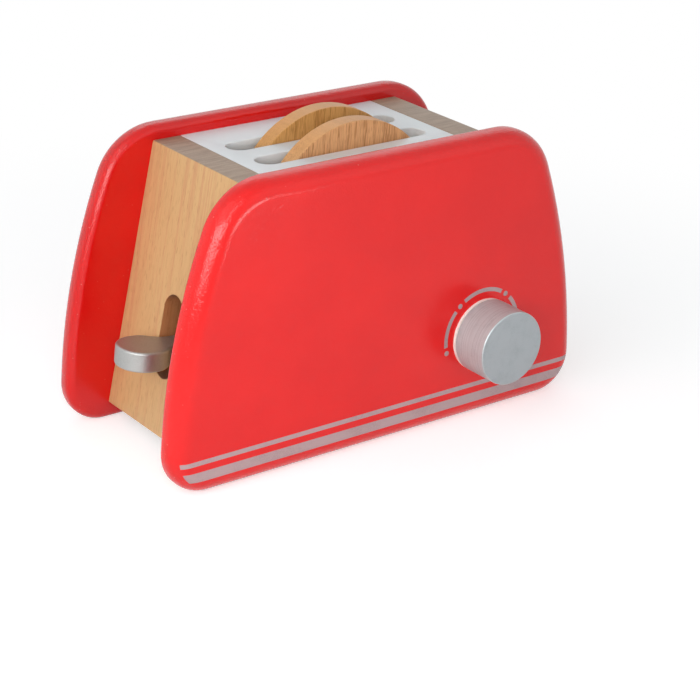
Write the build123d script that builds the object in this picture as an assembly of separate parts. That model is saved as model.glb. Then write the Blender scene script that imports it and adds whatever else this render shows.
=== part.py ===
from build123d import *
import math
import os

# A wooden toy toaster. Two painted panels stand at the front and back, with two leaning
# beech end boards and a white slotted top board glued between them. A lift inside carries
# two loose toast slices. Its lever comes out through a slot in the left end board.
#
# Millimetres. X runs along the toaster, away from the lever end. -Y is the front, with the
# knob. Z is up, from the surface that the toaster stands on. The functions below work
# about the middle plane of the body, and the export puts the origin in the middle of the
# footprint, knob included.

# Toast slices
slice_width = 68.0
slice_height = 82.0
slice_thickness = 7.8
slice_top_radius = 41.0
slice_shoulder_radius = 8.0
slice_foot_radius = 6.0
slice_easing = 0.4
slice_play = 1.6
slice_wall_gap = 0.5
front_slice_end_gap = 1.5
rear_slice_end_gap = 0.3

# Top board and its bread slots
slot_spacing = 21.0
slot_end_room = 7.5
slot_end_margin = 6.9
top_board_height = 118.7
top_board_thickness = 9.0
top_board_easing = 0.5

# End boards
end_board_thickness = 13.0
end_board_lean = 11.7
end_board_foot_gap = 7.6
end_board_easing = 0.6

# Side panels
panel_thickness = 12.0
panel_rise = 5.9
panel_top_overhang = 14.55
panel_foot_overhang = 18.75
panel_side_bulge = 7.2
panel_top_corner = 28.2
panel_foot_corner = 17.3
panel_outer_roundover = 7.2
panel_inner_roundover = 3.3

# Lift: the carriage, its guide rods and their grip rings
carriage_length = 112.0
carriage_thickness = 12.0
carriage_corner = 5.0
carriage_easing = 0.5
carriage_edge_wall = 1.5
carriage_side_room = 6.0
groove_floor_height = 47.8
groove_depth = 4.0
rod_diameter = 6.0
rod_x = 42.0
rod_groove_wall = 3.5
rod_foot_depth = 3.0
rod_head_depth = 5.0
rod_head_gap = 0.4
rod_running_gap = 0.3
ring_diameter = 10.0
ring_height = 2.0
ring_grip_gap = 0.05
ring_edge = 0.4

# Lever
lever_thickness = 8.4
lever_tilt = 5.7
lever_reach = 22.8
lever_tongue_width = 10.5
lever_tongue_length = 28.0
lever_paddle_radius = 10.7
lever_shoulder_length = 1.6
lever_neck_length = 12.8
lever_edge = 1.0
lever_seat_depth = 4.6
lever_slot_play = 1.75
lever_slot_length = 35.0
lever_slot_height = 47.95
lever_slot_easing = 0.5

# Floor
floor_thickness = 5.0
floor_end_gap = 0.3
cleat_size = 7.0
cleat_length = 110.0

# Knob
knob_diameter = 32.0
knob_length = 17.6
knob_x = 49.6
knob_height = 37.6
knob_front_edge = 0.6
knob_back_edge = 0.5
knob_play = 0.1
knob_washer_thickness = 1.3
knob_washer_edge_gap = 0.1
knob_screw_diameter = 4.0
knob_screw_grip = 9.5
knob_screw_head = 8.0
knob_screw_head_height = 2.6
knob_screw_washer_diameter = 12.0
knob_screw_washer_thickness = 1.0
knob_screw_gap = 0.3
knob_pilot_spare = 1.0

# Small screws and glued dowels
screw_diameter = 3.0
screw_head = 6.0
screw_head_height = 2.0
screw_head_gap = 0.3
screw_head_edge = 0.6
floor_screw_x = 45.0
floor_screw_length = 10.0
lever_screw_length = 14.0
lever_screw_spacing = 13.0
end_dowel_diameter = 8.0
end_dowel_in_board = 20.0
end_dowel_in_panel = 9.0
end_dowel_heights = (30.0, 92.0)
top_dowel_diameter = 6.0
top_dowel_in_board = 12.0
top_dowel_in_panel = 8.0
top_dowel_x = 30.0
glue_gap = 0.05
glue_room = 0.5

# How far each cut starts outside the wood
run_out = 1.0

# Worked out from the values above
slot_width = slice_thickness + 2 * slice_play
slot_length = slice_width + 2 * slot_end_room
slot_y = slot_spacing / 2
top_board_length = slot_length + 2 * slot_end_margin
rod_y = slot_y + slot_width / 2 + rod_groove_wall + rod_diameter / 2
carriage_width = 2 * (rod_y + ring_diameter / 2 + carriage_edge_wall)
carriage_top = groove_floor_height + groove_depth
carriage_bottom = carriage_top - carriage_thickness
body_depth = carriage_width + 2 * carriage_side_room
half_depth = body_depth / 2
panel_height = top_board_height + panel_rise
panel_face = half_depth + panel_thickness
floor_top = end_board_foot_gap + floor_thickness
lever_slot_width = lever_tongue_width + 2 * lever_slot_play
knob_back = panel_face + knob_washer_thickness + knob_play
footprint_shift = (knob_back + knob_length - panel_face) / 2
lean = math.radians(end_board_lean)
rod_places = ((-rod_x, rod_y), (rod_x, -rod_y))
screw_hole = screw_diameter + 2 * glue_gap


def inner_face_x(height):
    """Distance from the middle to an end board's inner face at a height."""
    return top_board_length / 2 + (top_board_height - height) * math.tan(lean)


def outer_face_x(height):
    """Distance from the middle to an end board's outer face at a height."""
    return inner_face_x(height) + end_board_thickness / math.cos(lean)


def cross_bar(x, z, y_from, y_to, diameter):
    """A round bar along Y."""
    length = abs(y_to - y_from)
    return Pos(x, (y_from + y_to) / 2, z) * Rot(90, 0, 0) * Cylinder(diameter / 2, length)


def upright_bar(x, y, z_from, z_to, diameter):
    """A round bar along Z."""
    length = z_to - z_from
    return Pos(x, y, (z_from + z_to) / 2) * Cylinder(diameter / 2, length)


def board_between_ends(z_low, z_high, width, end_gap):
    """A flat board whose ends are bevelled to the lean of the end boards."""
    low = inner_face_x(z_low) - end_gap
    high = inner_face_x(z_high) - end_gap
    section = make_face(Polyline((-low, z_low), (low, z_low), (high, z_high), (-high, z_high), close=True))
    return extrude(Plane.XZ * section, width / 2, both=True)


# Side panels


def panel_outline():
    """Rounded trapezium with straight foot and top, and bowed sides."""
    foot = outer_face_x(end_board_foot_gap) + panel_foot_overhang
    top = outer_face_x(top_board_height) + panel_top_overhang
    slope = math.atan2(foot - top, panel_height)
    bow_x = (foot + top) / 2 + panel_side_bulge * math.cos(slope)
    bow_z = panel_height / 2 + panel_side_bulge * math.sin(slope)
    outline = make_face(
        [
            Line((-foot, 0), (foot, 0)),
            ThreePointArc((foot, 0), (bow_x, bow_z), (top, panel_height)),
            Line((top, panel_height), (-top, panel_height)),
            ThreePointArc((-top, panel_height), (-bow_x, bow_z), (-foot, 0)),
        ]
    )
    outline = fillet(outline.vertices().group_by(Axis.Y)[-1], panel_top_corner)
    return fillet(outline.vertices().group_by(Axis.Y)[0], panel_foot_corner)


def panel_blank():
    """A front panel with its inner face on the XZ plane, before its holes are drilled."""
    panel = extrude(Plane.XZ * panel_outline(), panel_thickness)
    panel = fillet(panel.faces().sort_by(Axis.Y)[0].edges(), panel_outer_roundover)
    return fillet(panel.faces().sort_by(Axis.Y)[-1].edges(), panel_inner_roundover)


def panel_dowel_holes():
    """Blind holes for the glued dowels, as cut in a front panel."""
    face = -half_depth
    holes = []
    for x, z in end_dowel_places():
        holes.append(cross_bar(x, z, face, face - end_dowel_in_panel, end_dowel_diameter + 2 * glue_gap))
    for x in (-top_dowel_x, top_dowel_x):
        holes.append(
            cross_bar(x, top_dowel_z(), face, face - top_dowel_in_panel, top_dowel_diameter + 2 * glue_gap)
        )
    return holes


def front_panel():
    panel = Pos(0, -half_depth, 0) * panel_blank() - panel_dowel_holes()
    shank = knob_screw_diameter + 2 * knob_screw_gap
    return panel - cross_bar(knob_x, knob_height, -half_depth + run_out, -panel_face - run_out, shank)


def back_panel():
    panel = Pos(0, -half_depth, 0) * panel_blank() - panel_dowel_holes()
    return mirror(panel, Plane.XZ)


# End boards, top board and floor


def end_board():
    """The right-hand end board: both ends cut level, the edges of its outer and top faces eased."""
    section = make_face(
        Polyline(
            (inner_face_x(end_board_foot_gap), end_board_foot_gap),
            (outer_face_x(end_board_foot_gap), end_board_foot_gap),
            (outer_face_x(top_board_height), top_board_height),
            (inner_face_x(top_board_height), top_board_height),
            close=True,
        )
    )
    board = extrude(Plane.XZ * section, half_depth, both=True)
    top = board.faces().sort_by(Axis.Z)[-1]
    outer = board.faces().sort_by(lambda face: face.normal_at().X)[-1]
    board = fillet(outer.edges() + top.edges(), end_board_easing)
    holes = []
    for x, z in end_dowel_places():
        if x > 0:
            for side in (-1, 1):
                depth = half_depth - end_dowel_in_board - glue_room
                holes.append(
                    cross_bar(x, z, side * half_depth, side * depth, end_dowel_diameter + 2 * glue_gap)
                )
    return board - holes


def knob_end_board():
    return end_board()


def lever_end_board():
    board = mirror(end_board(), Plane.YZ)
    outward = (-math.cos(lean), 0, math.sin(lean))
    middle = (-outer_face_x(lever_slot_height), 0, lever_slot_height)
    face = Plane(origin=middle, x_dir=(math.sin(lean), 0, math.cos(lean)), z_dir=outward)
    slot = face * SlotOverall(lever_slot_length, lever_slot_width)
    board -= extrude(slot, end_board_thickness + run_out, both=True)
    flats = board.faces().filter_by(GeomType.PLANE)
    outer = flats.sort_by(lambda face: face.normal_at().X)[0]
    return fillet(outer.inner_wires()[0].edges(), lever_slot_easing)


def end_dowel_places():
    """X and Z of the dowels in the middle of both end boards."""
    places = []
    for z in end_dowel_heights:
        x = (inner_face_x(z) + outer_face_x(z)) / 2
        places += [(-x, z), (x, z)]
    return places


def top_dowel_z():
    return top_board_height - top_board_thickness / 2


def top_board():
    underside = top_board_height - top_board_thickness
    board = board_between_ends(underside, top_board_height, body_depth, 0)
    for y in (-slot_y, slot_y):
        slot = Pos(0, y, underside) * SlotOverall(slot_length, slot_width)
        board -= extrude(slot, 2 * top_board_thickness, both=True)
    board = fillet(board.faces().sort_by(Axis.Z)[-1].edges(), top_board_easing)
    rod_hole = rod_diameter + 2 * glue_gap
    for x, y in rod_places:
        board -= upright_bar(x, y, underside - run_out, underside + rod_head_depth, rod_hole)
    dowel_hole = top_dowel_diameter + 2 * glue_gap
    for x in (-top_dowel_x, top_dowel_x):
        for side in (-1, 1):
            depth = half_depth - top_dowel_in_board - glue_room
            board -= cross_bar(x, top_dowel_z(), side * half_depth, side * depth, dowel_hole)
    return board


def floor_board():
    width = body_depth - 2 * floor_end_gap
    board = board_between_ends(end_board_foot_gap, floor_top, width, floor_end_gap)
    rod_hole = rod_diameter + 2 * glue_gap
    for x, y in rod_places:
        board -= upright_bar(x, y, floor_top - rod_foot_depth, floor_top + run_out, rod_hole)
    head_room = screw_head + 2 * screw_head_gap
    head_top = end_board_foot_gap + screw_head_height + screw_head_gap
    for x, y in floor_screw_places():
        board -= upright_bar(x, y, end_board_foot_gap - run_out, head_top, head_room)
        board -= upright_bar(x, y, head_top - run_out, floor_top + run_out, screw_hole)
    return board


def floor_cleats():
    """Two battens inside the panels, which the floor is screwed to."""
    cleats = []
    for side in (-1, 1):
        y = side * (half_depth - cleat_size / 2)
        cleat = Pos(0, y, floor_top + cleat_size / 2) * Box(cleat_length, cleat_size, cleat_size)
        for x in (-floor_screw_x, floor_screw_x):
            cleat -= upright_bar(x, y, floor_top - run_out, floor_screw_tip() + glue_room, screw_hole)
        cleats.append(cleat)
    return cleats


def floor_screw_places():
    y = half_depth - cleat_size / 2
    return [(x, side * y) for x in (-floor_screw_x, floor_screw_x) for side in (-1, 1)]


def floor_screw_tip():
    return end_board_foot_gap + screw_head_gap + floor_screw_length


def pan_head_screw(length, diameter, head_diameter, head_height):
    """A screw along +Z, with its head's upper face at the origin and its shank below that."""
    head = Pos(0, 0, -head_height / 2) * Cylinder(head_diameter / 2, head_height)
    head = fillet(head.faces().sort_by(Axis.Z)[0].edges(), screw_head_edge)
    return head + Pos(0, 0, length / 2) * Cylinder(diameter / 2, length)


def floor_screws():
    seat = end_board_foot_gap + screw_head_height + screw_head_gap
    length = floor_screw_tip() - seat
    screw = pan_head_screw(length, screw_diameter, screw_head, screw_head_height)
    return [Pos(x, y, seat) * screw for x, y in floor_screw_places()]


def end_board_dowels():
    dowels = []
    for x, z in end_dowel_places():
        for side in (-1, 1):
            tip = side * (half_depth + end_dowel_in_panel)
            root = side * (half_depth - end_dowel_in_board)
            dowels.append(cross_bar(x, z, root, tip, end_dowel_diameter))
    return dowels


def top_board_dowels():
    dowels = []
    for x in (-top_dowel_x, top_dowel_x):
        for side in (-1, 1):
            tip = side * (half_depth + top_dowel_in_panel)
            root = side * (half_depth - top_dowel_in_board)
            dowels.append(cross_bar(x, top_dowel_z(), root, tip, top_dowel_diameter))
    return dowels


# Lift


def guide_rods():
    foot = floor_top - rod_foot_depth
    head = top_board_height - top_board_thickness + rod_head_depth - rod_head_gap
    return [upright_bar(x, y, foot, head, rod_diameter) for x, y in rod_places]


def lever_plane():
    """Lies on the lever's upper face where it enters the carriage; its X points out along it."""
    tilt = math.radians(lever_tilt)
    return Plane(
        origin=(-carriage_length / 2, 0, carriage_bottom + lever_seat_depth),
        x_dir=(-math.cos(tilt), 0, math.sin(tilt)),
        z_dir=(math.sin(tilt), 0, math.cos(tilt)),
    )


def lever_screw_places():
    """Distances of the lever's screws along the lever plane's X."""
    middle = -lever_tongue_length / 2
    return [middle - lever_screw_spacing / 2, middle + lever_screw_spacing / 2]


def lever_screw_head_plane(place):
    """Points up into the tongue, with its origin on the tongue's underside."""
    return lever_plane() * Pos(place, 0, -lever_thickness)


def toast_carriage():
    plate = Box(carriage_length, carriage_width, carriage_thickness)
    plate = Pos(0, 0, (carriage_top + carriage_bottom) / 2) * plate
    plate = fillet(plate.edges().filter_by(Axis.Z), carriage_corner)
    plate = fillet(plate.faces().sort_by(Axis.Z)[-1].edges(), carriage_easing)
    for y in (-slot_y, slot_y):
        groove = Box(carriage_length + run_out, slot_width, 2 * groove_depth)
        plate -= Pos(0, y, carriage_top) * groove
    rod_hole = rod_diameter + 2 * rod_running_gap
    ring_hole = ring_diameter + 2 * glue_gap
    for x, y in rod_places:
        plate -= upright_bar(x, y, carriage_bottom - run_out, carriage_top + run_out, rod_hole)
        plate -= upright_bar(x, y, carriage_top - ring_height, carriage_top + run_out, ring_hole)
    seat_length = lever_tongue_length + glue_room
    seat = Box(
        seat_length + carriage_length,
        lever_tongue_width + 2 * glue_gap,
        carriage_thickness,
        align=(Align.MIN, Align.CENTER, Align.MAX),
    )
    plate -= lever_plane() * Pos(-seat_length, 0, 0) * seat
    depth = lever_screw_length + glue_room - lever_thickness
    for place in lever_screw_places():
        hole = Pos(place, 0, depth / 2) * Cylinder(screw_hole / 2, depth)
        plate -= lever_plane() * hole
    return plate


def grip_rings():
    """Rubber rings let into the carriage, which grip the rods and hold the lift where it is put."""
    bore = Cylinder(rod_diameter / 2 + ring_grip_gap, ring_height)
    ring = Cylinder(ring_diameter / 2, ring_height) - bore
    ring = fillet(ring.edges().filter_by(GeomType.CIRCLE), ring_edge)
    return [Pos(x, y, carriage_top - ring_height / 2) * ring for x, y in rod_places]


def lever():
    """Flat paddle: a round finger end that narrows in an S-curve to the tongue."""
    tilt = math.radians(lever_tilt)
    board_x = outer_face_x(lever_slot_height)
    tip = (board_x + lever_reach - carriage_length / 2) / math.cos(tilt)
    paddle = tip - lever_paddle_radius
    shoulder = paddle - lever_shoulder_length
    neck = shoulder - lever_neck_length
    half = lever_tongue_width / 2
    along = (1, 0)
    outline = make_face(
        [
            Line((-lever_tongue_length, half), (-lever_tongue_length, -half)),
            Line((-lever_tongue_length, -half), (neck, -half)),
            Spline((neck, -half), (shoulder, -lever_paddle_radius), tangents=(along, along)),
            Line((shoulder, -lever_paddle_radius), (paddle, -lever_paddle_radius)),
            ThreePointArc((paddle, -lever_paddle_radius), (tip, 0), (paddle, lever_paddle_radius)),
            Line((shoulder, lever_paddle_radius), (paddle, lever_paddle_radius)),
            Spline((neck, half), (shoulder, lever_paddle_radius), tangents=(along, along)),
            Line((neck, half), (-lever_tongue_length, half)),
        ]
    )
    blade = extrude(outline, -lever_thickness)
    rims = blade.faces().filter_by(Axis.Z).edges()
    blade = fillet([rim for rim in rims if rim.center().X > neck], lever_edge)
    for place in lever_screw_places():
        blade -= Pos(place, 0, 0) * Cylinder(screw_hole / 2, 3 * lever_thickness)
    return lever_plane() * blade


def lever_screws():
    screw = pan_head_screw(lever_screw_length, screw_diameter, screw_head, screw_head_height)
    return [lever_screw_head_plane(place) * screw for place in lever_screw_places()]


# Toast


def toast_slice(end_gap, slot_side):
    """A slice that stands in its groove, against the front wall of its slot and off its right end."""
    half = slice_width / 2
    shoulder = slice_height - slice_top_radius + math.sqrt(slice_top_radius**2 - half**2)
    outline = make_face(
        [
            Line((-half, 0), (half, 0)),
            Line((half, 0), (half, shoulder)),
            ThreePointArc((half, shoulder), (0, slice_height), (-half, shoulder)),
            Line((-half, shoulder), (-half, 0)),
        ]
    )
    outline = fillet(outline.vertices().group_by(Axis.Y)[-1], slice_shoulder_radius)
    outline = fillet(outline.vertices().group_by(Axis.Y)[0], slice_foot_radius)
    side_shift = slice_play - slice_wall_gap
    slot_round = slot_width / 2
    corner = slice_thickness / 2 + side_shift
    slot_reach = slot_length / 2 - slot_round + math.sqrt(slot_round**2 - corner**2)
    x = slot_reach - end_gap - half
    y = slot_side * slot_y - side_shift
    bread = extrude(Plane.XZ * outline, slice_thickness / 2, both=True)
    bread = fillet(bread.faces().filter_by(Axis.Y).edges(), slice_easing)
    return Pos(x, y, groove_floor_height) * bread


# Knob


def knob():
    body = cross_bar(knob_x, knob_height, -knob_back, -knob_back - knob_length, knob_diameter)
    body = fillet(body.faces().sort_by(Axis.Y)[0].edges(), knob_front_edge)
    body = chamfer(body.faces().sort_by(Axis.Y)[-1].edges(), knob_back_edge)
    pilot_end = -knob_back - knob_screw_grip - knob_pilot_spare
    pilot = knob_screw_diameter + 2 * glue_gap
    return body - cross_bar(knob_x, knob_height, -knob_back + run_out, pilot_end, pilot)


def knob_washer():
    outer = knob_diameter - 2 * knob_washer_edge_gap
    face = -panel_face - knob_washer_thickness
    ring = cross_bar(knob_x, knob_height, -panel_face, face, outer)
    hole = knob_screw_diameter + 2 * knob_screw_gap
    return ring - cross_bar(knob_x, knob_height, -panel_face + run_out, face - run_out, hole)


def knob_screw_washer():
    inner = -half_depth + knob_play
    outer = inner + knob_screw_washer_thickness
    ring = cross_bar(knob_x, knob_height, inner, outer, knob_screw_washer_diameter)
    hole = knob_screw_diameter + 2 * glue_gap
    return ring - cross_bar(knob_x, knob_height, inner - run_out, outer + run_out, hole)


def knob_screw():
    seat = -half_depth + knob_play + knob_screw_washer_thickness
    length = seat + knob_back + knob_screw_grip
    screw = pan_head_screw(length, knob_screw_diameter, knob_screw_head, knob_screw_head_height)
    return Pos(knob_x, seat, knob_height) * Rot(90, 0, 0) * screw


parts = {
    "front_panel": front_panel(),
    "back_panel": back_panel(),
    "lever_end_board": lever_end_board(),
    "knob_end_board": knob_end_board(),
    "top_board": top_board(),
    "floor_board": floor_board(),
    "floor_cleats": floor_cleats(),
    "floor_screws": floor_screws(),
    "end_board_dowels": end_board_dowels(),
    "top_board_dowels": top_board_dowels(),
    "guide_rods": guide_rods(),
    "toast_carriage": toast_carriage(),
    "grip_rings": grip_rings(),
    "lever": lever(),
    "lever_screws": lever_screws(),
    "toast_slice_front": toast_slice(front_slice_end_gap, -1),
    "toast_slice_rear": toast_slice(rear_slice_end_gap, 1),
    "knob": knob(),
    "knob_washer": knob_washer(),
    "knob_screw": knob_screw(),
    "knob_screw_washer": knob_screw_washer(),
}

os.makedirs("parts", exist_ok=True)
for name, shape in parts.items():
    solids = shape if isinstance(shape, list) else [shape]
    placed = [Pos(0, footprint_shift, 0) * solid for solid in solids]
    part = placed[0] if len(placed) == 1 else Compound(children=placed)
    export_step(part, f"parts/{name}.step")
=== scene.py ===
import bpy
import math
from mathutils import Matrix, Vector


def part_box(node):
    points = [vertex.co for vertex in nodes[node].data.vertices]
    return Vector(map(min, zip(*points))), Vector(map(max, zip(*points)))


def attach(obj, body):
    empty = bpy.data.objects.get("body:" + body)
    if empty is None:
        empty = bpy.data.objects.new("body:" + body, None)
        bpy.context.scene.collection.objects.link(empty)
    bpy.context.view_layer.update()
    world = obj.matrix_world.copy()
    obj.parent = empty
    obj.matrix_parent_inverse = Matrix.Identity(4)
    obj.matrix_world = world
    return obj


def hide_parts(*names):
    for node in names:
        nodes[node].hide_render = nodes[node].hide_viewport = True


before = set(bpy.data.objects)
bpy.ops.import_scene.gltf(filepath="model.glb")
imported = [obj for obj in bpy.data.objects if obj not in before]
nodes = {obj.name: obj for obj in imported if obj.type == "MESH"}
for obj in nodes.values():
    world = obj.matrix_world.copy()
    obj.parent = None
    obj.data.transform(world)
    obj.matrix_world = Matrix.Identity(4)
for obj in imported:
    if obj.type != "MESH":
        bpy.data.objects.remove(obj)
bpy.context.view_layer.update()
scene = bpy.context.scene

# CAMERA
# A long lens looks down on the lever end and the front panel. It is rolled a little, as a
# camera held in the hand is.
look_at = Vector((0.01535, 0.0095, 0.02087))
camera_azimuth = math.radians(-37.106)
camera_elevation = math.radians(23.464)
camera_roll = math.radians(1.856)
camera_distance = 0.8669


def direction(azimuth, elevation):
    """Unit vector from the toaster, with azimuth 0 out of the front panel, in radians."""
    level = math.cos(elevation)
    return Vector((math.sin(azimuth) * level, -math.cos(azimuth) * level, math.sin(elevation)))


toward = direction(camera_azimuth, camera_elevation)
level_right = Vector((0, 0, 1)).cross(toward).normalized()
level_up = toward.cross(level_right)
right = math.cos(camera_roll) * level_right + math.sin(camera_roll) * level_up
up = math.cos(camera_roll) * level_up - math.sin(camera_roll) * level_right
lens = bpy.data.cameras.new("long_lens")
lens.sensor_width = 36
lens.lens = 103.1
lens.clip_start = 0.05
camera = bpy.data.objects.new("long_lens", lens)
turned = Matrix((right, up, toward)).transposed().to_4x4()
camera.matrix_world = Matrix.Translation(look_at + camera_distance * toward) @ turned
scene.collection.objects.link(camera)
scene.camera = camera

# STUDIO
# A white table under a pale sky. Two strips close by draw the highlights on the rims, a wall
# of light stands beyond the lever end, a small lamp and a box from above light the top and
# reach into its slots, and two more boxes fill in from the front right and from behind.
scene.view_settings.view_transform = "Standard"
white = (1, 1, 1, 1)
sky_blue = (0.93, 0.97, 1.0, 1)
sky_at_horizon = 0.60
sky_overhead = 0.26
table_radius = 3.0
table_grey = (0.75, 0.75, 0.75, 1)
table_lift = 0.5
shadow_reach = 0.16
plain_beyond = 0.42
light_aim = Vector((0, 0, 0.06))


def add_node(material, kind, inputs=None, **settings):
    """A node with its settings, whose inputs take a value or another node's output."""
    made = material.node_tree.nodes.new("ShaderNode" + kind)
    for name, value in settings.items():
        setattr(made, name, value)
    for name, value in (inputs or {}).items():
        if isinstance(value, bpy.types.NodeSocket):
            material.node_tree.links.new(value, made.inputs[name])
        else:
            made.inputs[name].default_value = value
    return made


def worked(material, operation, *values):
    """The result of arithmetic on one or two values."""
    return add_node(material, "Math", dict(enumerate(values)), operation=operation).outputs[0]


def along(material, vector, axis):
    """How far a vector reaches along an axis."""
    return add_node(material, "VectorMath", {0: vector, 1: axis}, operation="DOT_PRODUCT").outputs["Value"]


def mask(material, value, none, full, **settings):
    """0 where a value is at none, 1 where it is at full, and in between by its share."""
    limits = {"Value": value, "From Min": none, "From Max": full}
    return add_node(material, "MapRange", limits, **settings).outputs[0]


def between(material, share, low, high):
    """The value that lies this share of the way from low to high."""
    return add_node(material, "MapRange", {"Value": share, "To Min": low, "To Max": high}).outputs[0]


def background_ray(material):
    """1 for the rays that show the plain background: those of the camera, gloss and glass."""
    ray = add_node(material, "LightPath").outputs
    seen = worked(material, "MAXIMUM", ray["Is Camera Ray"], ray["Is Glossy Ray"])
    return worked(material, "MAXIMUM", seen, ray["Is Transmission Ray"])


sky = bpy.data.worlds.new("pale_sky")
sky.use_nodes = True
sky.node_tree.nodes.clear()
way = add_node(sky, "TexCoord").outputs["Generated"]
strength = between(sky, along(sky, way, (0, 0, 1)), sky_at_horizon, sky_overhead)
plain_sky = add_node(sky, "Background", {"Color": white, "Strength": 1.0}).outputs[0]
shining_sky = add_node(sky, "Background", {"Color": sky_blue, "Strength": strength}).outputs[0]
sky_mix = add_node(sky, "MixShader", {0: background_ray(sky), 1: shining_sky, 2: plain_sky}).outputs[0]
add_node(sky, "OutputWorld", {"Surface": sky_mix})
scene.world = sky

bpy.ops.object.select_all(action="DESELECT")
bpy.ops.mesh.primitive_circle_add(vertices=96, radius=table_radius, fill_type="NGON")
table = bpy.context.active_object
table.name = "white_table"
table_top = bpy.data.materials.new("white_table")
table_top.use_nodes = True
table_top.node_tree.nodes.clear()
place = add_node(table_top, "TexCoord").outputs["Object"]
reach = add_node(table_top, "VectorMath", {0: place}, operation="LENGTH").outputs["Value"]
far_out = mask(table_top, reach, shadow_reach, plain_beyond, interpolation_type="SMOOTHSTEP")
seen = background_ray(table_top)
paint = add_node(table_top, "BsdfDiffuse", {"Color": table_grey}).outputs[0]
lift = add_node(table_top, "Emission", {"Color": white, "Strength": table_lift}).outputs[0]
lifted = add_node(table_top, "AddShader", {0: paint, 1: lift}).outputs[0]
near = add_node(table_top, "MixShader", {0: seen, 1: paint, 2: lifted}).outputs[0]
plain = add_node(table_top, "Emission", {"Color": white, "Strength": 1.0}).outputs[0]
faded = worked(table_top, "MULTIPLY", far_out, seen)
table_mix = add_node(table_top, "MixShader", {0: faded, 1: near, 2: plain}).outputs[0]
add_node(table_top, "OutputMaterial", {"Surface": table_mix})
table.data.materials.append(table_top)


def soft_light(name, azimuth, elevation, distance, width, height, power):
    """A soft box that faces the toaster; azimuth and elevation are in degrees."""
    box = bpy.data.lights.new(name, "AREA")
    box.shape = "RECTANGLE"
    box.size = width
    box.size_y = height
    box.energy = power
    out = direction(math.radians(azimuth), math.radians(elevation))
    holder = bpy.data.objects.new(name, box)
    holder.location = light_aim + distance * out
    holder.rotation_euler = out.to_track_quat("Z", "Y").to_euler()
    scene.collection.objects.link(holder)


soft_light("side_strip", azimuth=-56, elevation=18, distance=0.40, width=0.30, height=0.12, power=0.76)
soft_light("front_strip", azimuth=12, elevation=-2, distance=0.40, width=0.14, height=0.06, power=0.18)
soft_light("front_right_box", azimuth=28, elevation=26, distance=1.2, width=1.0, height=0.8, power=0.76)
soft_light("lever_end_wall", azimuth=-100, elevation=22, distance=1.3, width=2.0, height=1.4, power=1.7)
soft_light("high_spot", azimuth=-34, elevation=40, distance=1.3, width=0.24, height=0.18, power=1.1)
soft_light("back_box", azimuth=140, elevation=40, distance=1.3, width=1.2, height=0.7, power=2.1)
soft_light("high_left_box", azimuth=-78, elevation=46, distance=1.3, width=0.9, height=0.9, power=2.1)

# SIDE PANELS
# Two thick boards, routed round all their edges and sprayed with several coats of red toy
# enamel. The back one is painted a deeper red, as painted shade for its dimmer inner face.
# It dries with faint waves, an orange peel that is stronger on the rims, and a few specks of
# dust that show most there.
front_reds = ((0.74, 0.004, 0.004), (0.80, 0.006, 0.005))
# The back reds are painted darker: painted shade for the back panel's dimmer inner face.
back_reds_painted_shade = ((0.64, 0.004, 0.004), (0.70, 0.006, 0.005))
front_dust = 0.0
back_dust = 0.1
rim_dust = 0.25
dusty_red = (0.9, 0.35, 0.3, 1)
wave_height = 0.0002
peel_height = 0.00016
speck_height = 0.0002


def finish_of(name):
    """A new material with its main shader."""
    material = bpy.data.materials.new(name)
    material.use_nodes = True
    return material, material.node_tree.nodes["Principled BSDF"]


def feed(material, shader, **inputs):
    """Sets or links inputs of a shader, with underscores for the spaces in their names."""
    for name, value in inputs.items():
        socket = shader.inputs[name.replace("_", " ")]
        if isinstance(value, bpy.types.NodeSocket):
            material.node_tree.links.new(value, socket)
        else:
            socket.default_value = value


def place_in(material):
    """The place of a point in the object's own coordinates, in metres."""
    return add_node(material, "TexCoord").outputs["Object"]


def facing_in(material):
    """The direction that a point's surface faces."""
    return add_node(material, "NewGeometry").outputs["Normal"]


def noise(material, place, scale, detail, roughness=0.5):
    """Cloudy noise with features about 1/scale across, in metres."""
    inputs = {"Vector": place, "Scale": scale, "Detail": detail, "Roughness": roughness}
    return add_node(material, "TexNoise", inputs).outputs["Fac"]


def ramp(material, value, *stops):
    """Colours by value; each stop is a position and a colour."""
    made = add_node(material, "ValToRGB", {"Fac": value})
    while len(made.color_ramp.elements) < len(stops):
        made.color_ramp.elements.new(1.0)
    for element, (position, colour) in zip(made.color_ramp.elements, stops):
        element.position = position
        element.color = (*colour, 1)
    return made.outputs["Color"]


def blend_colours(material, amount, first, second, kind="MIX"):
    """Mixes two colours, or a colour and a plain tuple."""
    inputs = {"Fac": amount, "Color1": first, "Color2": second}
    return add_node(material, "MixRGB", inputs, blend_type=kind).outputs["Color"]


def raised(material, height, strength, distance, over=None):
    """A bump that follows a pattern of height, over another bump where one is given."""
    inputs = {"Height": height, "Strength": strength, "Distance": distance}
    if over:
        inputs["Normal"] = over
    return add_node(material, "Bump", inputs).outputs[0]


def cover(name, material):
    """Gives a CAD node this material alone."""
    nodes[name].data.materials.clear()
    nodes[name].data.materials.append(material)


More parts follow.
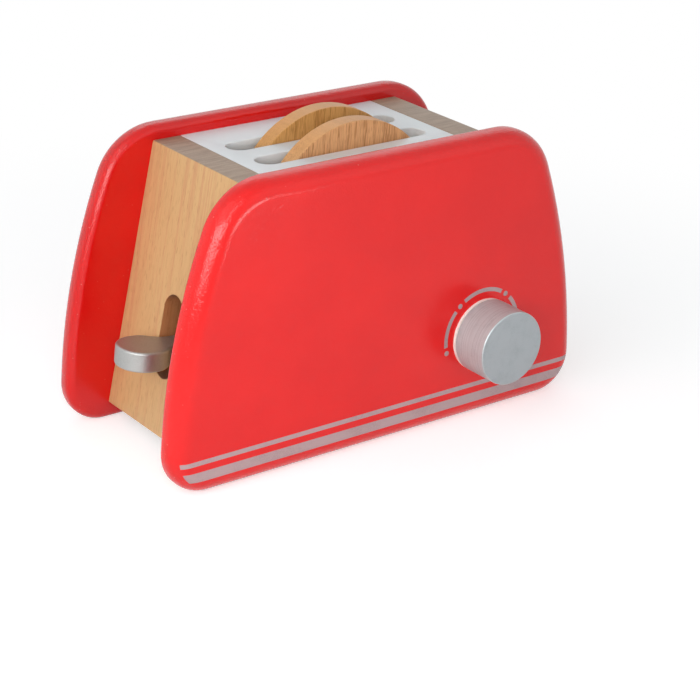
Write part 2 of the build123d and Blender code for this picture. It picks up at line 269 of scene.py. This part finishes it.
def enamel(name, deep, bright, dust):
    """Red enamel between two reds; dust is how strongly its specks show on the flat faces."""
    material, shader = finish_of(name)
    place = place_in(material)
    cloud = noise(material, place, scale=30, detail=4)
    tint = ramp(material, cloud, (0.3, deep), (0.7, bright))
    flatness = worked(material, "ABSOLUTE", along(material, facing_in(material), (0, 1, 0)))
    rim = mask(material, flatness, none=0.97, full=0.8)
    cells = add_node(material, "TexVoronoi", {"Vector": place, "Scale": 420}).outputs
    speck = mask(material, cells["Distance"], none=0.16, full=0.06)
    kept = worked(material, "GREATER_THAN", along(material, cells["Color"], (1, 0, 0)), 0.80)
    speck = worked(material, "MULTIPLY", speck, kept)
    speck = worked(material, "MULTIPLY", speck, between(material, rim, dust, rim_dust))
    tint = blend_colours(material, speck, tint, dusty_red)
    waves = noise(material, place, scale=160, detail=2)
    bump = raised(material, waves, strength=0.5, distance=wave_height)
    peel = noise(material, place, scale=1300, detail=1)
    peel_strength = between(material, rim, low=0.45, high=0.9)
    bump = raised(material, peel, peel_strength, distance=peel_height, over=bump)
    bump = raised(material, speck, strength=1.0, distance=speck_height, over=bump)
    dull = between(material, cloud, low=0.14, high=0.22)
    feed(material, shader, Base_Color=tint, Roughness=dull, Normal=bump, Specular_IOR_Level=0.42)
    return material


cover("front_panel", enamel("front_enamel", *front_reds, front_dust))
# The back panel's deeper red is painted shade.
cover("back_panel", enamel("back_enamel_painted_shade", *back_reds_painted_shade, back_dust))

# PRINT
# Two silver stripes and a dial of arcs and dots, screen-printed on the front panel in thick
# matt ink. The stripes run round the panel's rounded rim as far as the screen bends.
stripes = {"thin_stripe": (0.01417, 0.01618), "thick_stripe": (0.00697, 0.01124)}
screen_bend = math.radians(30)
ink_thickness = 0.00004
dial_centre = Vector((0.04906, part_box("front_panel")[0].y, 0.03815))
dial_radius = 0.01942
mark_width = 0.0018
dot_diameter = 0.0023
dial_arcs = ((139.2, 187.5), (60.6, 121.9), (-3.5, 43.0))
dial_dots = (195.4, 130.6, 52.3, -12.5)
dark_ink = (0.36, 0.255, 0.26)
light_ink = (0.44, 0.32, 0.325)

silver_ink, shader = finish_of("silver_ink")
place = place_in(silver_ink)
grain = noise(silver_ink, place, scale=2600, detail=3)
patch = noise(silver_ink, place, scale=90, detail=2)
both = worked(silver_ink, "ADD", grain, patch)
tint = ramp(silver_ink, both, (0.7, dark_ink), (1.3, light_ink))
bump = raised(silver_ink, grain, strength=0.2, distance=0.00005)
feed(silver_ink, shader, Base_Color=tint, Roughness=0.5, Metallic=0.35, Normal=bump)


def start_piece(adder, name, **settings):
    """The new active object that a bpy.ops primitive makes, with nothing else selected."""
    bpy.ops.object.select_all(action="DESELECT")
    adder(**settings)
    piece = bpy.context.active_object
    piece.name = name
    piece.data.name = name
    return piece


def copy_of(node, name):
    """A merged copy of a CAD node as the active object, in edit mode with all of it selected."""
    bpy.ops.object.select_all(action="DESELECT")
    piece = nodes[node].copy()
    piece.data = nodes[node].data.copy()
    piece.name = piece.data.name = name
    scene.collection.objects.link(piece)
    piece.select_set(True)
    bpy.context.view_layer.objects.active = piece
    bpy.ops.mesh.customdata_custom_splitnormals_clear()
    bpy.ops.object.mode_set(mode="EDIT")
    bpy.ops.mesh.select_all(action="SELECT")
    bpy.ops.mesh.remove_doubles(threshold=1e-6)
    return piece


def pick(piece, wanted):
    """Selects the faces that pass a test, and leaves the piece in edit mode."""
    bpy.ops.object.mode_set(mode="EDIT")
    bpy.ops.mesh.select_mode(type="FACE")
    bpy.ops.mesh.select_all(action="DESELECT")
    bpy.ops.object.mode_set(mode="OBJECT")
    for face in piece.data.polygons:
        face.select = wanted(face)
    bpy.ops.object.mode_set(mode="EDIT")


def joined(pieces, name):
    """Several pieces made one."""
    bpy.ops.object.select_all(action="DESELECT")
    for piece in pieces:
        piece.select_set(True)
    bpy.context.view_layer.objects.active = pieces[0]
    bpy.ops.object.join()
    pieces[0].name = pieces[0].data.name = name
    return pieces[0]


def settle(piece, material, body):
    """Finishes a piece: its place into its mesh, smooth shading, material and body."""
    bpy.ops.object.select_all(action="DESELECT")
    piece.select_set(True)
    bpy.context.view_layer.objects.active = piece
    bpy.ops.object.transform_apply(location=True, rotation=True, scale=True)
    bpy.ops.object.shade_smooth_by_angle(angle=math.radians(35))
    piece.data.materials.clear()
    piece.data.materials.append(material)
    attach(piece, body)


for name, (low, high) in stripes.items():
    film = copy_of("front_panel", name)
    bpy.ops.mesh.bisect(plane_co=(0, 0, low), plane_no=(0, 0, 1), clear_inner=True)
    bpy.ops.mesh.select_all(action="SELECT")
    bpy.ops.mesh.bisect(plane_co=(0, 0, high), plane_no=(0, 0, 1), clear_outer=True)
    pick(film, lambda face: -face.normal.y < math.cos(screen_bend))
    bpy.ops.mesh.delete(type="FACE")
    bpy.ops.object.mode_set(mode="OBJECT")
    solid = film.modifiers.new("film", "SOLIDIFY")
    solid.thickness = ink_thickness
    solid.offset = 1
    bpy.ops.object.modifier_apply(modifier="film")
    settle(film, silver_ink, "housing")


def on_dial(degrees, radius):
    """A point on the dial, counted from +X and anticlockwise from the front."""
    turn = math.radians(degrees)
    return dial_centre + radius * Vector((math.cos(turn), 0, math.sin(turn)))


marks = []
for start, end in dial_arcs:
    arc = start_piece(bpy.ops.mesh.primitive_plane_add, "dial_arc", size=1)
    at = on_dial(start, dial_radius)
    outward = (at - dial_centre).normalized()
    depth = Vector((0, 1, 0))
    sideways = Matrix((outward, depth, outward.cross(depth))).transposed().to_4x4()
    arc.matrix_world = Matrix.Translation(at) @ sideways
    arc.scale = (mark_width, 2 * ink_thickness, 1)
    bpy.ops.object.transform_apply(location=True, rotation=True, scale=True)
    bpy.ops.object.mode_set(mode="EDIT")
    bpy.ops.mesh.select_all(action="SELECT")
    bpy.ops.mesh.spin(steps=24, angle=math.radians(end - start), center=dial_centre, axis=depth)
    bpy.ops.mesh.select_all(action="SELECT")
    bpy.ops.mesh.normals_make_consistent(inside=False)
    bpy.ops.object.mode_set(mode="OBJECT")
    marks.append(arc)
for degrees in dial_dots:
    dot = start_piece(
        bpy.ops.mesh.primitive_cylinder_add, "dial_dot", vertices=32, radius=dot_diameter / 2,
        depth=2 * ink_thickness, location=on_dial(degrees, dial_radius), rotation=(math.radians(90), 0, 0),
    )
    bpy.ops.object.transform_apply(location=True, rotation=True, scale=True)
    bpy.ops.object.mode_set(mode="EDIT")
    bpy.ops.mesh.select_all(action="SELECT")
    bpy.ops.mesh.bevel(offset=ink_thickness / 2, segments=2)
    bpy.ops.object.mode_set(mode="OBJECT")
    marks.append(dot)
settle(joined(marks, "dial_marks"), silver_ink, "housing")

# END BOARDS
# Two beech boards that lean in towards the top, sanded and lacquered satin, with glued dowels
# into the panels. Their level tops show end grain. The walls of the lever's slot are painted
# a darker brown, as painted shade inside the slot.
board_lean = math.radians(11.7)
board_grain_turn = math.radians(3.5)
end_board_easing = 0.0004
slot_middle_y = 0.0095
slot_middle_z = 0.048
slot_reach_y = 0.007
slot_reach_z = 0.019
unshaded = (1, 1, 1)
pore_brown = (0.62, 0.55, 0.48)
fleck_brown = (0.55, 0.40, 0.28)
end_pore_brown = (0.7, 0.64, 0.58)
ring_scale = (620, 70, 160)
beech_colours = dict(
    pale=(0.635, 0.395, 0.18), deep=(0.60, 0.32, 0.15),
    end_pale=(0.44, 0.315, 0.22), end_deep=(0.31, 0.215, 0.15),
)
# Darker browns for the walls of the lever's slot: painted shade.
slot_shade_colours = dict(
    pale=(0.49, 0.205, 0.082), deep=(0.44, 0.175, 0.068),
    end_pale=(0.32, 0.155, 0.085), end_deep=(0.24, 0.115, 0.065),
)


def in_grain(material, grain, across):
    """Object coordinates turned so that Z runs along the grain and X across it."""
    place = place_in(material)
    grain = Vector(grain).normalized()
    depth = grain.cross(Vector(across)).normalized()
    across = depth.cross(grain)
    parts = {"X": along(material, place, across), "Y": along(material, place, depth)}
    parts["Z"] = along(material, place, grain)
    return add_node(material, "CombineXYZ", parts).outputs[0]


def streaks(material, place, narrow, short, detail=2.0, offset=0.0):
    """Noise drawn out along the grain: about 1/narrow wide and 1/short tall, in metres."""
    scaled = {"Vector": place, "Scale": (narrow, narrow, short), "Location": (offset, 0, 0)}
    scaled = add_node(material, "Mapping", scaled).outputs[0]
    return noise(material, scaled, scale=1.0, detail=detail, roughness=0.55)


def wood(
    name, grain, across, pale, deep, end_pale, end_deep,
    narrow=700, short=14, drift=330, spread=0.26, fleck=0.3, fine=0.2, dullness=0.38,
):
    """Wood with soft streaks between two colours, as sharp as spread is small. Fine pores and
    short dark flecks lie over them, and faces across the grain show its rings in the end
    colours. Narrow and short size the streaks, and drift the slower ones under them."""
    material, shader = finish_of(name)
    place = in_grain(material, grain, across)
    wide = streaks(material, place, narrow, short)
    slow = streaks(material, place, drift, 9, detail=1.0, offset=3.0)
    both = worked(material, "ADD", wide, slow)
    colour = ramp(material, both, (1 - spread, deep), (1 + spread, pale))
    pores = streaks(material, place, 3400, 110, detail=1.0, offset=7.0)
    pore_tint = ramp(material, pores, (0.32, pore_brown), (0.52, unshaded))
    colour = blend_colours(material, fine, colour, pore_tint, "MULTIPLY")
    flecks = streaks(material, place, 2300, 260, detail=0.0, offset=11.0)
    fleck_tint = ramp(material, flecks, (0.27, fleck_brown), (0.36, unshaded))
    colour = blend_colours(material, fleck, colour, fleck_tint, "MULTIPLY")
    rings = add_node(material, "Mapping", {"Vector": place, "Scale": ring_scale}).outputs[0]
    rings = noise(material, rings, scale=1.0, detail=3)
    end_colour = ramp(material, rings, (0.3, end_deep), (0.7, end_pale))
    end_pores = noise(material, place, scale=3800, detail=1)
    end_pore_tint = ramp(material, end_pores, (0.35, end_pore_brown), (0.5, unshaded))
    end_colour = blend_colours(material, 0.5, end_colour, end_pore_tint, "MULTIPLY")
    endwise = along(material, facing_in(material), Vector(grain).normalized())
    endwise = mask(material, worked(material, "ABSOLUTE", endwise), none=0.55, full=0.9)
    colour = blend_colours(material, endwise, colour, end_colour)
    bump = raised(material, pores, strength=0.25, distance=0.00008)
    bump = raised(material, wide, strength=0.08, distance=0.0002, over=bump)
    dull = between(material, pores, low=dullness + 0.12, high=dullness - 0.04)
    feed(material, shader, Base_Color=colour, Roughness=dull, Normal=bump, Specular_IOR_Level=0.3)
    return material


def leaning(side):
    """Direction of a leaning board's grain: up the board, turned a little in its own face."""
    up_board = Vector((-side * math.sin(board_lean), 0, math.cos(board_lean)))
    return math.cos(board_grain_turn) * up_board + Vector((0, math.sin(board_grain_turn), 0))


def eased(node, width, material, body):
    """Replaces a CAD node by a copy whose sharp edges are eased, as sandpaper leaves them."""
    piece = copy_of(node, "eased_" + node)
    bpy.ops.mesh.dissolve_limited(angle_limit=math.radians(0.5))
    bpy.ops.mesh.select_all(action="DESELECT")
    bpy.ops.mesh.select_mode(type="EDGE")
    bpy.ops.mesh.edges_select_sharp(sharpness=math.radians(40))
    bpy.ops.mesh.bevel(offset=width, segments=2, clamp_overlap=True)
    bpy.ops.mesh.select_all(action="SELECT")
    bpy.ops.mesh.normals_make_consistent(inside=False)
    bpy.ops.object.mode_set(mode="OBJECT")
    settle(piece, material, body)
    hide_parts(node)
    return piece


lever_end_beech = wood("lever_end_beech", leaning(-1), (0, 1, 0), **beech_colours)
knob_end_beech = wood("knob_end_beech", leaning(1), (0, 1, 0), **beech_colours)
# Wood for the lever slot's walls, painted darker as painted shade.
slot_wall_painted_shade = wood("slot_wall_painted_shade", leaning(-1), (0, 1, 0), **slot_shade_colours)
lever_board = eased("lever_end_board", end_board_easing, lever_end_beech, "housing")
eased("knob_end_board", end_board_easing, knob_end_beech, "housing")
lever_board.data.materials.append(slot_wall_painted_shade)
# The faces of the lever slot's walls take the painted-shade wood.
board_outward = Vector((-math.cos(board_lean), 0, math.sin(board_lean)))
for face in lever_board.data.polygons:
    beside_slot = abs(face.center.y - slot_middle_y) < slot_reach_y
    level_with_slot = abs(face.center.z - slot_middle_z) < slot_reach_z
    wall = abs(face.normal.dot(board_outward)) < 0.5
    if beside_slot and level_with_slot and wall:
        face.material_index = 1

# DOWELS AND RODS
# Bought beech dowel rod, left bare: short lengths in the joints, and the two long rods that
# the lift slides on.
dowel_colours = dict(
    pale=(0.60, 0.38, 0.20), deep=(0.50, 0.28, 0.13),
    end_pale=(0.34, 0.22, 0.13), end_deep=(0.26, 0.16, 0.09),
)
cross_dowel = wood("cross_dowel", (0, 1, 0), (1, 0, 0), dullness=0.6, **dowel_colours)
cover("end_board_dowels", cross_dowel)
cover("top_board_dowels", cross_dowel)
cover("guide_rods", wood("upright_dowel", (0, 0, 1), (1, 0, 0), dullness=0.55, **dowel_colours))

# TOP BOARD
# Fibreboard with two bread slots, sanded lightly round their rims and sprayed satin white.
# The spray is a little pebbled.
top_board_easing = 0.0003
shaded_white = (0.80, 0.83, 0.84)
full_white = (0.86, 0.89, 0.90)
white_spray, shader = finish_of("white_spray")
place = place_in(white_spray)
cloud = noise(white_spray, place, scale=45, detail=4)
tint = ramp(white_spray, cloud, (0.3, shaded_white), (0.7, full_white))
pebbles = noise(white_spray, place, scale=800, detail=2)
bump = raised(white_spray, pebbles, strength=0.12, distance=0.00012)
feed(white_spray, shader, Base_Color=tint, Roughness=0.38, Normal=bump, Specular_IOR_Level=0.3)
eased("top_board", top_board_easing, white_spray, "housing")

# CARRIAGE
# A beech plate with a groove under each slice, in the same satin finish as the end boards,
# and two black rubber rings that grip the rods.
clean_rubber = (0.012, 0.012, 0.013)
dusty_rubber = (0.035, 0.034, 0.033)
cover("toast_carriage", wood("carriage_beech", (1, 0, 0), (0, 1, 0), **beech_colours))
ring_rubber, shader = finish_of("ring_rubber")
dust = noise(ring_rubber, place_in(ring_rubber), scale=900, detail=4)
tint = ramp(ring_rubber, dust, (0.4, clean_rubber), (0.75, dusty_rubber))
bump = raised(ring_rubber, dust, strength=0.3, distance=0.0001)
feed(ring_rubber, shader, Base_Color=tint, Roughness=0.75, Normal=bump)
cover("grip_rings", ring_rubber)

# LEVER
# A beech paddle sprayed with metallic silver: fine flakes in a clear binder, which dries
# satin and slightly pebbled.
dark_silver = (0.33, 0.33, 0.32)
light_silver = (0.415, 0.415, 0.405)
silver_spray, shader = finish_of("silver_spray")
place = place_in(silver_spray)
flakes = add_node(silver_spray, "TexVoronoi", {"Vector": place, "Scale": 5200}).outputs["Color"]
cloud = noise(silver_spray, place, scale=160, detail=4)
both = worked(silver_spray, "ADD", along(silver_spray, flakes, (1, 0, 0)), cloud)
tint = ramp(silver_spray, both, (0.5, dark_silver), (1.5, light_silver))
pebbles = noise(silver_spray, place, scale=900, detail=3)
bump = raised(silver_spray, pebbles, strength=0.15, distance=0.0001)
dull = between(silver_spray, cloud, low=0.38, high=0.48)
feed(silver_spray, shader, Base_Color=tint, Roughness=dull, Metallic=0.85, Normal=bump)
cover("lever", silver_spray)

# SCREWS
# Zinc-plated cross-head wood screws, rolled and nickel-grey, with a shallow cross in each
# pan head. They hold the floor to its battens, the lever to the carriage and the knob.
dull_zinc = (0.50, 0.50, 0.48)
bright_zinc = (0.68, 0.68, 0.66)
head_radius = 0.003
head_height = 0.002
head_rounding = 0.0006
shank_radius = 0.0015
point_height = 0.002
point_taper = 0.1
cross_arm = Vector((0.0034, 0.0008, 0.0022))
cross_turns = (20, 110)
cross_taper = 0.5
turn_along_x = 40
turn_along_y = 90
zinc, shader = finish_of("zinc_plate")
bloom = noise(zinc, place_in(zinc), scale=1200, detail=5)
tint = ramp(zinc, bloom, (0.3, dull_zinc), (0.7, bright_zinc))
bump = raised(zinc, bloom, strength=0.1, distance=0.00005)
dull = between(zinc, bloom, low=0.22, high=0.42)
feed(zinc, shader, Base_Color=tint, Roughness=dull, Metallic=1.0, Normal=bump)
for name in ("lever_screws", "knob_screw", "knob_screw_washer"):
    cover(name, zinc)


def facing(axis):
    """A test for pick: whether a face points along this axis."""
    return lambda face: face.normal.dot(Vector(axis)) > 0.9


screw_low, screw_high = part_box("floor_screws")
screw = start_piece(
    bpy.ops.mesh.primitive_cylinder_add, "floor_screw", vertices=40, radius=head_radius, depth=head_height
)
pick(screw, facing((0, 0, -1)))
bpy.ops.mesh.bevel(offset=head_rounding, segments=4)
pick(screw, facing((0, 0, 1)))
bpy.ops.mesh.inset(thickness=head_radius - shank_radius)
shank_length = screw_high.z - screw_low.z - head_height - point_height
bpy.ops.mesh.extrude_region_move(TRANSFORM_OT_translate={"value": (0, 0, shank_length)})
bpy.ops.mesh.extrude_region_move(TRANSFORM_OT_translate={"value": (0, 0, point_height)})
bpy.ops.transform.resize(value=(point_taper, point_taper, 1))
bpy.ops.object.mode_set(mode="OBJECT")
for turn in cross_turns:
    arm = start_piece(
        bpy.ops.mesh.primitive_cube_add, "cross_arm", size=1, location=(0, 0, -head_height / 2),
        rotation=(0, 0, math.radians(turn)), scale=cross_arm,
    )
    pick(arm, facing((0, 0, 1)))
    bpy.ops.transform.resize(value=(cross_taper, cross_taper, 1), center_override=arm.location)
    bpy.ops.object.mode_set(mode="OBJECT")
    cut = screw.modifiers.new("cross", "BOOLEAN")
    cut.operation = "DIFFERENCE"
    cut.object = arm
    bpy.context.view_layer.objects.active = screw
    bpy.ops.object.modifier_apply(modifier="cross")
    bpy.data.objects.remove(arm)
screws = []
for x in (screw_low.x + head_radius, screw_high.x - head_radius):
    for y in (screw_low.y + head_radius, screw_high.y - head_radius):
        driven = screw.copy()
        driven.data = screw.data.copy()
        driven.location = (x, y, screw_low.z + head_height / 2)
        # Each screw stops at a turn of its own.
        driven.rotation_euler.z = turn_along_x * x + turn_along_y * y
        scene.collection.objects.link(driven)
        screws.append(driven)
bpy.data.objects.remove(screw)
floor_screws = joined(screws, "cross_head_screws")
settle(floor_screws, zinc, "housing")
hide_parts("floor_screws")

# FLOOR
# A birch plywood floor, left bare, screwed up into two pine battens that are glued inside
# the panels.
ply_colours = dict(
    pale=(0.62, 0.47, 0.30), deep=(0.52, 0.37, 0.21),
    end_pale=(0.45, 0.31, 0.18), end_deep=(0.33, 0.21, 0.11), dullness=0.62,
)
cover("floor_board", wood("birch_ply", (1, 0, 0), (0, 1, 0), narrow=260, **ply_colours))
cover("floor_cleats", wood("pine_batten", (1, 0, 0), (0, 1, 0), narrow=320, fleck=0.1, **ply_colours))

# KNOB
# A turned beech knob in a drier, more matt coat of the silver, rubbed brighter on its rims,
# in which the turning marks still show as faint rings. It turns on a cream nylon washer,
# against the front panel.
side_silvers = ((0.44, 0.51, 0.515), (0.52, 0.60, 0.605))
face_silvers = ((0.31, 0.34, 0.355), (0.37, 0.40, 0.415))
ring_shade = (0.80, 0.80, 0.80)
ring_height = 0.00012
nylon_creams = ((0.94, 0.94, 0.87), (0.97, 0.97, 0.92))
turned_silver, shader = finish_of("turned_silver")
place = place_in(turned_silver)
depth = along(turned_silver, place, (0, 1, 0))
layers = add_node(turned_silver, "CombineXYZ", {"Y": depth}).outputs[0]
rings = noise(turned_silver, layers, scale=1600, detail=3)
cloud = noise(turned_silver, place, scale=220, detail=4)
flakes = noise(turned_silver, place, scale=4200, detail=1)
both = worked(turned_silver, "ADD", flakes, cloud)
backwards = along(turned_silver, facing_in(turned_silver), (0, 1, 0))
end_face = mask(turned_silver, backwards, none=-0.6, full=-0.9)
side_tint = ramp(turned_silver, both, (0.7, side_silvers[0]), (1.3, side_silvers[1]))
ring_tint = ramp(turned_silver, rings, (0.38, ring_shade), (0.58, unshaded))
side_tint = blend_colours(turned_silver, 1.0, side_tint, ring_tint, "MULTIPLY")
face_tint = ramp(turned_silver, both, (0.7, face_silvers[0]), (1.3, face_silvers[1]))
tint = blend_colours(turned_silver, end_face, side_tint, face_tint)
bump = raised(turned_silver, rings, strength=0.6, distance=ring_height)
bump = raised(turned_silver, cloud, strength=0.2, distance=0.0002, over=bump)
dull = between(turned_silver, flakes, low=0.34, high=0.46)
squared = worked(turned_silver, "MULTIPLY", backwards, backwards)
off_rim = worked(turned_silver, "ABSOLUTE", worked(turned_silver, "SUBTRACT", squared, 0.5))
rim = mask(turned_silver, off_rim, none=0.46, full=0.30)
rubbed = between(turned_silver, rim, low=0.1, high=0.9)
feed(turned_silver, shader, Base_Color=tint, Roughness=dull, Metallic=rubbed, Normal=bump)
cover("knob", turned_silver)
nylon, shader = finish_of("cream_nylon")
cloud = noise(nylon, place_in(nylon), scale=500, detail=3)
tint = ramp(nylon, cloud, (0.3, nylon_creams[0]), (0.7, nylon_creams[1]))
feed(nylon, shader, Base_Color=tint, Roughness=0.45)
cover("knob_washer", nylon)

# TOAST
# Two loose slices of sawn beech, sanded on their rims, with the upright grain and saw
# streaks left crisp on their faces. They are cut from different boards.
toast_grain = (0.05, 0, 1)
toast_look = dict(
    end_pale=(0.76, 0.375, 0.135), end_deep=(0.68, 0.325, 0.11),
    narrow=2600, short=190, drift=900, spread=0.2, fleck=0.4, fine=0.6,
)
front_colours = dict(pale=(0.74, 0.41, 0.185), deep=(0.55, 0.27, 0.105))
rear_colours = dict(pale=(0.66, 0.345, 0.11), deep=(0.49, 0.235, 0.065))
cover("toast_slice_front", wood("front_toast", toast_grain, (1, 0, 0), **front_colours, **toast_look))
cover("toast_slice_rear", wood("rear_toast", toast_grain, (1, 0, 0), **rear_colours, **toast_look))
